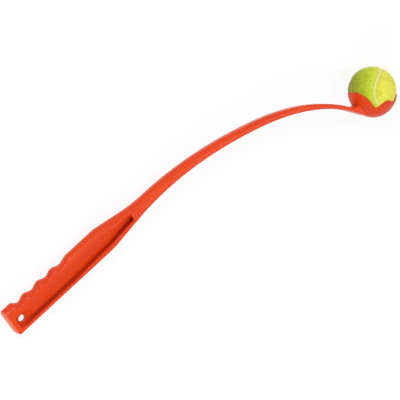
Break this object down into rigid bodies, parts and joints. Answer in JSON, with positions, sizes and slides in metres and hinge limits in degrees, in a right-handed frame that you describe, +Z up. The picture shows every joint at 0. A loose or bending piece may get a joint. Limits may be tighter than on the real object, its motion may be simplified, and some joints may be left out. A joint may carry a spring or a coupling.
{
  "type": "dog ball thrower",
  "caption": "Hand-held dog ball thrower: a moulded arm with a finger-grooved grip, a curved flexible shaft and a lobed cup that holds a tennis ball, which slides out of the mouth.",
  "frame": {"origin": "centre of the footprint of the thrower as it lies on its side, on the surface it rests on", "axes": "+X from the butt along the grip towards the cup end, +Y towards the finger side and the cup's mouth, +Z up, out of the side that faces up"},
  "size_m": [0.6186, 0.1624, 0.0657],
  "materials": {
    "arm_plastic": "semi-gloss moulded polypropylene, bright orange-red",
    "ball_rubber": "dark pressed rubber, hidden under the felt",
    "ball_felt": "brushed yellow-green felt",
    "seam_rubber": "matt pale seam rubber"
  },
  "bodies": {
    "thrower": {"thrower": "arm_plastic"},
    "ball": {"ball_core_lower": "ball_rubber", "ball_core_upper": "ball_rubber", "felt_panel_a": "ball_felt", "felt_panel_b": "ball_felt", "ball_seam": "seam_rubber"}
  },
  "joints": [
    {"name": "ball_release", "type": "slide", "parent": "thrower", "child": "ball", "axis": [0.6588, 0.7518, 0.0258], "range_m": [0, 0.08]}
  ]
}
